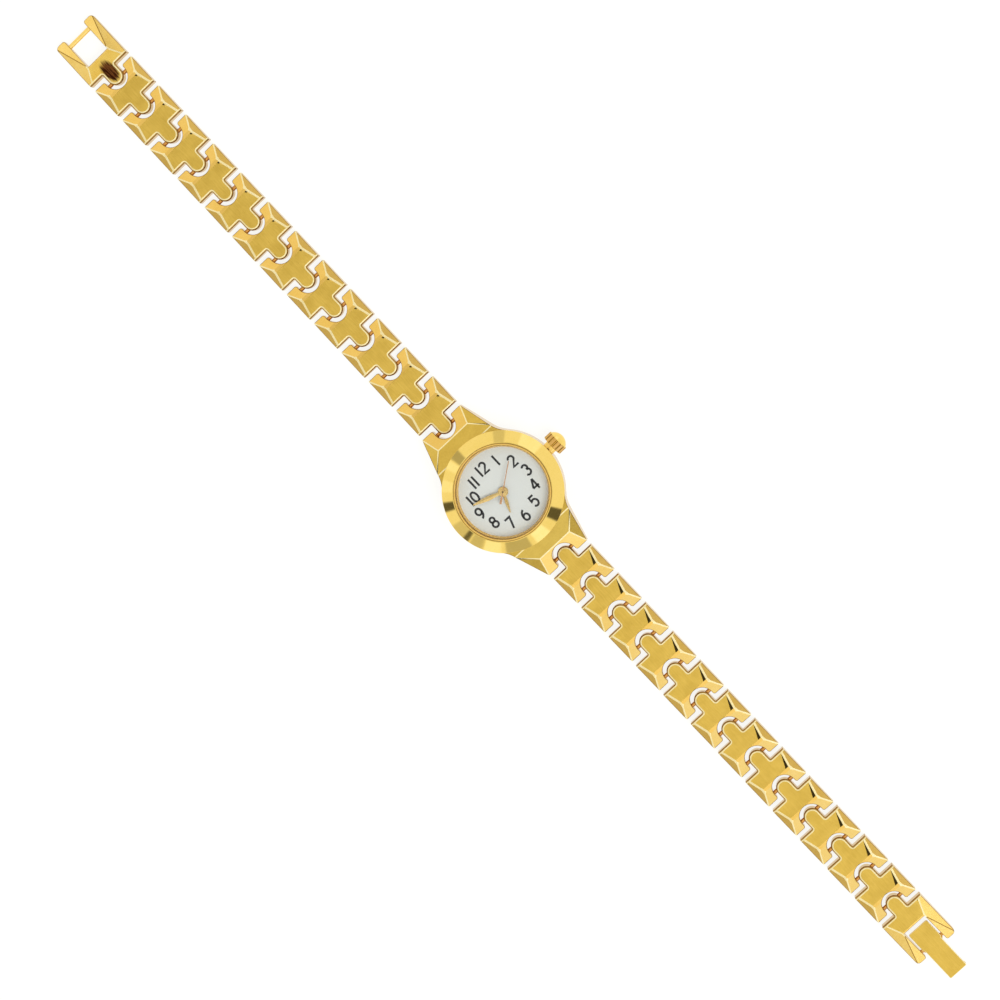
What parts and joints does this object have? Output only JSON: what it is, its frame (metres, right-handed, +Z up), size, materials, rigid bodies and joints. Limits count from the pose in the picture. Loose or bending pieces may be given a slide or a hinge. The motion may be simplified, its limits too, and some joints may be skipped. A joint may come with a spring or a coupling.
{
  "type": "bracelet watch",
  "caption": "Ladies' analogue watch with a small round case, notched jigsaw-link metal bracelet and a fold-over tongue clasp, laid out open.",
  "frame": {"origin": "centre of the head, on the flat outer face of the case back", "axes": "+Z up through the dial, +Y along the bracelet to twelve o'clock, +X to the crown"},
  "size_m": [0.0213, 0.1939, 0.0063],
  "materials": {
    "polished_gold": "polished gold plating",
    "satin_gold": "brushed satin gold plating",
    "hand_gold": "pale gilt",
    "second_gold": "coppery gilt",
    "crystal": "clear mineral glass",
    "dial_white": "white lacquer",
    "steel": "satin steel",
    "seal": "black rubber",
    "clear_seal": "translucent nylon",
    "moulding": "white moulded plastic",
    "copper": "wound copper wire",
    "board": "green lacquered board",
    "wheel_brass": "plain brass"
  },
  "bodies": {
    "head": {"case": "polished_gold", "lug_pins": "polished_gold", "bezel": "polished_gold", "crystal": "crystal", "crystal_gasket": "clear_seal", "inner_ring": "polished_gold", "dial": "dial_white", "case_back": "steel", "case_back_gasket": "seal", "crown_tube": "polished_gold", "crown_gasket": "seal", "movement_ring": "moulding", "main_plate": "moulding", "train_bridge": "steel", "bridge_screws": "steel", "battery": "steel", "battery_clip": "steel", "stator": "steel", "coil": "copper", "circuit_board": "board"},
    "hour": {"hour_wheel": "wheel_brass", "hour_hand": "hand_gold"},
    "minute": {"centre_wheel": "wheel_brass", "minute_hand": "hand_gold"},
    "second": {"second_wheel": "wheel_brass", "second_hand": "second_gold"},
    "third": {"third_wheel": "wheel_brass"},
    "fifth": {"fifth_wheel": "moulding"},
    "rotor": {"rotor": "steel"},
    "minute_works": {"minute_wheel": "wheel_brass"},
    "setting": {"setting_lever": "steel"},
    "crown": {"crown": "polished_gold", "stem": "steel"},
    "upper_link_01": {"upper_link_01": "satin_gold"},
    "upper_link_02": {"upper_link_02": "satin_gold"},
    "upper_link_03": {"upper_link_03": "satin_gold"},
    "upper_link_04": {"upper_link_04": "satin_gold"},
    "upper_link_05": {"upper_link_05": "satin_gold"},
    "upper_link_06": {"upper_link_06": "satin_gold"},
    "upper_link_07": {"upper_link_07": "satin_gold"},
    "upper_link_08": {"upper_link_08": "satin_gold"},
    "upper_link_09": {"upper_link_09": "satin_gold"},
    "upper_link_10": {"upper_link_10": "satin_gold"},
    "upper_link_11": {"upper_link_11": "satin_gold"},
    "upper_link_12": {"upper_link_12": "satin_gold"},
    "frame_end": {"frame_link": "polished_gold"},
    "lower_link_01": {"lower_link_01": "satin_gold"},
    "lower_link_02": {"lower_link_02": "satin_gold"},
    "lower_link_03": {"lower_link_03": "satin_gold"},
    "lower_link_04": {"lower_link_04": "satin_gold"},
    "lower_link_05": {"lower_link_05": "satin_gold"},
    "lower_link_06": {"lower_link_06": "satin_gold"},
    "lower_link_07": {"lower_link_07": "satin_gold"},
    "lower_link_08": {"lower_link_08": "satin_gold"},
    "lower_link_09": {"lower_link_09": "satin_gold"},
    "lower_link_10": {"lower_link_10": "satin_gold"},
    "lower_link_11": {"lower_link_11": "satin_gold"},
    "lower_link_12": {"lower_link_12": "satin_gold"},
    "hook_end": {"hook_link": "polished_gold"},
    "clasp_tongue": {"clasp_tongue": "satin_gold"}
  },
  "joints": [
    {"name": "second_spin", "type": "hinge", "parent": "head", "child": "second", "pos_m": [0, 0, 0.0052], "axis": [0, 0, -1], "continuous": true},
    {"name": "minute_spin", "type": "hinge", "parent": "head", "child": "minute", "pos_m": [0, 0, 0.00495], "axis": [0, 0, -1], "continuous": true},
    {"name": "hour_spin", "type": "hinge", "parent": "head", "child": "hour", "pos_m": [0, 0, 0.0047], "axis": [0, 0, -1], "continuous": true},
    {"name": "third_spin", "type": "hinge", "parent": "head", "child": "third", "pos_m": [0.00105, 0.00182, 0.003], "axis": [0, 0, -1], "continuous": true},
    {"name": "fifth_spin", "type": "hinge", "parent": "head", "child": "fifth", "pos_m": [-0.00129, 0.00184, 0.003], "axis": [0, 0, -1], "continuous": true},
    {"name": "rotor_spin", "type": "hinge", "parent": "head", "child": "rotor", "pos_m": [-0.00285, 0.00274, 0.0023], "axis": [0, 0, -1], "continuous": true},
    {"name": "minute_works_spin", "type": "hinge", "parent": "head", "child": "minute_works", "pos_m": [-0.00067, -0.00183, 0.0039], "axis": [0, 0, -1], "continuous": true},
    {"name": "crown_pull", "type": "slide", "parent": "head", "child": "setting", "axis": [1, 0, 0], "range_m": [0, 0.0006]},
    {"name": "crown_turn", "type": "hinge", "parent": "setting", "child": "crown", "pos_m": [0.0105, 0, 0.00275], "axis": [1, 0, 0], "continuous": true},
    {"name": "upper_link_01_hinge", "type": "hinge", "parent": "head", "child": "upper_link_01", "pos_m": [0, 0.01293, 0.00095], "axis": [-1, 0, 0], "range_deg": [-12, 14]},
    {"name": "upper_link_02_hinge", "type": "hinge", "parent": "upper_link_01", "child": "upper_link_02", "pos_m": [0, 0.01893, 0.00095], "axis": [-1, 0, 0], "range_deg": [-12, 14]},
    {"name": "upper_link_03_hinge", "type": "hinge", "parent": "upper_link_02", "child": "upper_link_03", "pos_m": [0, 0.02493, 0.00095], "axis": [-1, 0, 0], "range_deg": [-12, 14]},
    {"name": "upper_link_04_hinge", "type": "hinge", "parent": "upper_link_03", "child": "upper_link_04", "pos_m": [0, 0.03093, 0.00095], "axis": [-1, 0, 0], "range_deg": [-12, 14]},
    {"name": "upper_link_05_hinge", "type": "hinge", "parent": "upper_link_04", "child": "upper_link_05", "pos_m": [0, 0.03693, 0.00095], "axis": [-1, 0, 0], "range_deg": [-12, 14]},
    {"name": "upper_link_06_hinge", "type": "hinge", "parent": "upper_link_05", "child": "upper_link_06", "pos_m": [0, 0.04293, 0.00095], "axis": [-1, 0, 0], "range_deg": [-12, 14]},
    {"name": "upper_link_07_hinge", "type": "hinge", "parent": "upper_link_06", "child": "upper_link_07", "pos_m": [0, 0.04893, 0.00095], "axis": [-1, 0, 0], "range_deg": [-12, 14]},
    {"name": "upper_link_08_hinge", "type": "hinge", "parent": "upper_link_07", "child": "upper_link_08", "pos_m": [0, 0.05493, 0.00095], "axis": [-1, 0, 0], "range_deg": [-12, 14]},
    {"name": "upper_link_09_hinge", "type": "hinge", "parent": "upper_link_08", "child": "upper_link_09", "pos_m": [0, 0.06093, 0.00095], "axis": [-1, 0, 0], "range_deg": [-12, 14]},
    {"name": "upper_link_10_hinge", "type": "hinge", "parent": "upper_link_09", "child": "upper_link_10", "pos_m": [0, 0.06693, 0.00095], "axis": [-1, 0, 0], "range_deg": [-12, 14]},
    {"name": "upper_link_11_hinge", "type": "hinge", "parent": "upper_link_10", "child": "upper_link_11", "pos_m": [0, 0.07293, 0.00095], "axis": [-1, 0, 0], "range_deg": [-12, 14]},
    {"name": "upper_link_12_hinge", "type": "hinge", "parent": "upper_link_11", "child": "upper_link_12", "pos_m": [0, 0.07893, 0.00095], "axis": [-1, 0, 0], "range_deg": [-12, 14]},
    {"name": "frame_end_hinge", "type": "hinge", "parent": "upper_link_12", "child": "frame_end", "pos_m": [0, 0.08493, 0.00095], "axis": [-1, 0, 0], "range_deg": [-12, 14]},
    {"name": "lower_link_01_hinge", "type": "hinge", "parent": "head", "child": "lower_link_01", "pos_m": [0, -0.01293, 0.00095], "axis": [1, 0, 0], "range_deg": [-12, 14]},
    {"name": "lower_link_02_hinge", "type": "hinge", "parent": "lower_link_01", "child": "lower_link_02", "pos_m": [0, -0.01893, 0.00095], "axis": [1, 0, 0], "range_deg": [-12, 14]},
    {"name": "lower_link_03_hinge", "type": "hinge", "parent": "lower_link_02", "child": "lower_link_03", "pos_m": [0, -0.02493, 0.00095], "axis": [1, 0, 0], "range_deg": [-12, 14]},
    {"name": "lower_link_04_hinge", "type": "hinge", "parent": "lower_link_03", "child": "lower_link_04", "pos_m": [0, -0.03093, 0.00095], "axis": [1, 0, 0], "range_deg": [-12, 14]},
    {"name": "lower_link_05_hinge", "type": "hinge", "parent": "lower_link_04", "child": "lower_link_05", "pos_m": [0, -0.03693, 0.00095], "axis": [1, 0, 0], "range_deg": [-12, 14]},
    {"name": "lower_link_06_hinge", "type": "hinge", "parent": "lower_link_05", "child": "lower_link_06", "pos_m": [0, -0.04293, 0.00095], "axis": [1, 0, 0], "range_deg": [-12, 14]},
    {"name": "lower_link_07_hinge", "type": "hinge", "parent": "lower_link_06", "child": "lower_link_07", "pos_m": [0, -0.04893, 0.00095], "axis": [1, 0, 0], "range_deg": [-12, 14]},
    {"name": "lower_link_08_hinge", "type": "hinge", "parent": "lower_link_07", "child": "lower_link_08", "pos_m": [0, -0.05493, 0.00095], "axis": [1, 0, 0], "range_deg": [-12, 14]},
    {"name": "lower_link_09_hinge", "type": "hinge", "parent": "lower_link_08", "child": "lower_link_09", "pos_m": [0, -0.06093, 0.00095], "axis": [1, 0, 0], "range_deg": [-12, 14]},
    {"name": "lower_link_10_hinge", "type": "hinge", "parent": "lower_link_09", "child": "lower_link_10", "pos_m": [0, -0.06693, 0.00095], "axis": [1, 0, 0], "range_deg": [-12, 14]},
    {"name": "lower_link_11_hinge", "type": "hinge", "parent": "lower_link_10", "child": "lower_link_11", "pos_m": [0, -0.07293, 0.00095], "axis": [1, 0, 0], "range_deg": [-12, 14]},
    {"name": "lower_link_12_hinge", "type": "hinge", "parent": "lower_link_11", "child": "lower_link_12", "pos_m": [0, -0.07893, 0.00095], "axis": [1, 0, 0], "range_deg": [-12, 14]},
    {"name": "hook_end_hinge", "type": "hinge", "parent": "lower_link_12", "child": "hook_end", "pos_m": [0, -0.08493, 0.00095], "axis": [1, 0, 0], "range_deg": [-12, 14]},
    {"name": "clasp_fold", "type": "hinge", "parent": "hook_end", "child": "clasp_tongue", "pos_m": [0, -0.0935, 0.00095], "axis": [1, 0, 0], "range_deg": [0, 168]}
  ],
  "couplings": [
    {"joint": "minute_spin", "follows": "second_spin", "ratio": 0.016667},
    {"joint": "hour_spin", "follows": "second_spin", "ratio": 0.0013889},
    {"joint": "third_spin", "follows": "second_spin", "ratio": -0.125},
    {"joint": "fifth_spin", "follows": "second_spin", "ratio": -6},
    {"joint": "rotor_spin", "follows": "second_spin", "ratio": 30},
    {"joint": "minute_works_spin", "follows": "second_spin", "ratio": -0.0055556}
  ]
}
